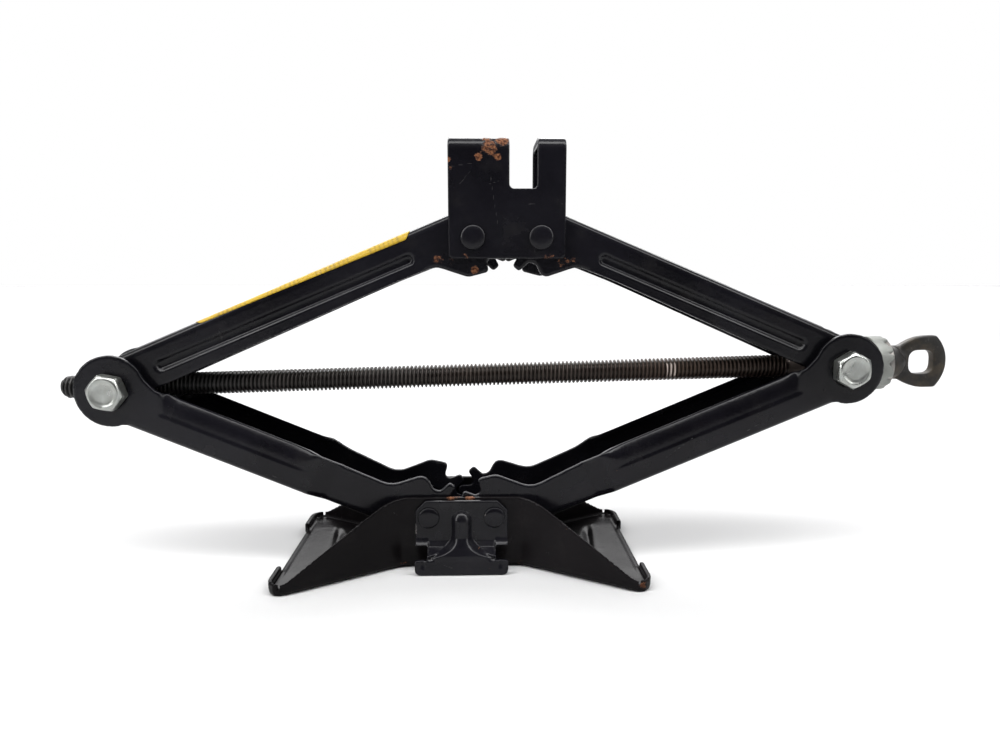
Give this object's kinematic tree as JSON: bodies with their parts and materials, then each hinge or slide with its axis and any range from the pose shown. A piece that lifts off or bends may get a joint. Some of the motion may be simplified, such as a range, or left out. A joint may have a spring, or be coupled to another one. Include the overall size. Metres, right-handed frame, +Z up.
{
  "type": "scissor car jack",
  "caption": "Screw-driven scissor jack: pressed steel arms geared at the base and saddle, a trunnion nut, a thrust bearing and a flat drive eye.",
  "frame": {"origin": "middle of the base's underside", "axes": "+Z up, +X along the screw towards the drive eye, -Y towards the side that is seen"},
  "size_m": [0.4424, 0.1006, 0.2062],
  "materials": {
    "paint": "satin black paint",
    "zinc": "zinc plated",
    "phosphate": "dark oiled phosphate",
    "steel": "bare turned steel",
    "vinyl": "printed vinyl label without its text"
  },
  "bodies": {
    "base": {"base_pan": "paint", "front_bracket": "paint", "rear_bracket": "paint", "base_pin_left": "paint", "base_pin_right": "paint"},
    "lower_left_arm": {"lower_left_arm": "paint"},
    "lower_right_arm": {"lower_right_arm": "paint"},
    "upper_left_arm": {"upper_left_arm": "paint", "label": "vinyl"},
    "upper_right_arm": {"upper_right_arm": "paint"},
    "saddle": {"saddle": "paint", "saddle_pin_left": "paint", "saddle_pin_right": "paint"},
    "nut_trunnion": {"nut_trunnion": "steel", "left_bolt_front": "zinc", "left_bolt_rear": "zinc", "left_spacer_front": "steel", "left_spacer_rear": "steel"},
    "bearing_trunnion": {"bearing_trunnion": "steel", "right_bolt_front": "zinc", "right_bolt_rear": "zinc", "right_spacer_front": "steel", "right_spacer_rear": "steel", "inner_race": "steel", "bearing_ball_1": "steel", "bearing_ball_2": "steel", "bearing_ball_3": "steel", "bearing_ball_4": "steel", "bearing_ball_5": "steel", "bearing_ball_6": "steel", "bearing_ball_7": "steel", "bearing_ball_8": "steel"},
    "screw": {"lead_screw": "phosphate", "outer_race": "steel", "bearing_cover": "zinc"}
  },
  "joints": [
    {"name": "screw_turn", "type": "hinge", "parent": "bearing_trunnion", "child": "screw", "pos_m": [0.18759, 0, 0.09798], "axis": [-0.9997, 0, -0.0262], "range_deg": [-7200, 14400]},
    {"name": "lower_left_pivot", "type": "hinge", "parent": "base", "child": "lower_left_arm", "pos_m": [-0.016, 0, 0.0262], "axis": [0, -1, 0], "range_deg": [-27.38, 13.72]},
    {"name": "lower_right_pivot", "type": "hinge", "parent": "base", "child": "lower_right_arm", "pos_m": [0.016, 0, 0.0262], "axis": [0, -1, 0], "range_deg": [-13.72, 27.38]},
    {"name": "upper_left_pivot", "type": "hinge", "parent": "lower_left_arm", "child": "upper_left_arm", "pos_m": [-0.16545, 0, 0.08872], "axis": [0, -1, 0], "range_deg": [-27.38, 54.72]},
    {"name": "upper_right_pivot", "type": "hinge", "parent": "lower_right_arm", "child": "upper_right_arm", "pos_m": [0.18759, 0, 0.09798], "axis": [0, -1, 0], "range_deg": [-54.72, 27.38]},
    {"name": "saddle_pivot", "type": "hinge", "parent": "upper_left_arm", "child": "saddle", "pos_m": [0.00614, 0, 0.16049], "axis": [0, -1, 0], "range_deg": [-27.38, 13.72]},
    {"name": "nut_pivot", "type": "hinge", "parent": "lower_left_arm", "child": "nut_trunnion", "pos_m": [-0.16545, 0, 0.08872], "axis": [0, -1, 0], "range_deg": [-14.89, 29.73]},
    {"name": "bearing_pivot", "type": "hinge", "parent": "lower_right_arm", "child": "bearing_trunnion", "pos_m": [0.18759, 0, 0.09798], "axis": [0, -1, 0], "range_deg": [-25.03, 12.54]}
  ],
  "couplings": [
    {"joint": "lower_left_pivot", "follows": "screw_turn", "ratio": -0.0018981},
    {"joint": "lower_right_pivot", "follows": "screw_turn", "ratio": 0.0018981},
    {"joint": "upper_left_pivot", "follows": "screw_turn", "ratio": 0.0037963},
    {"joint": "upper_right_pivot", "follows": "screw_turn", "ratio": -0.0037963},
    {"joint": "saddle_pivot", "follows": "screw_turn", "ratio": -0.0018981},
    {"joint": "nut_pivot", "follows": "screw_turn", "ratio": 0.0020614},
    {"joint": "bearing_pivot", "follows": "screw_turn", "ratio": -0.0017349}
  ]
}
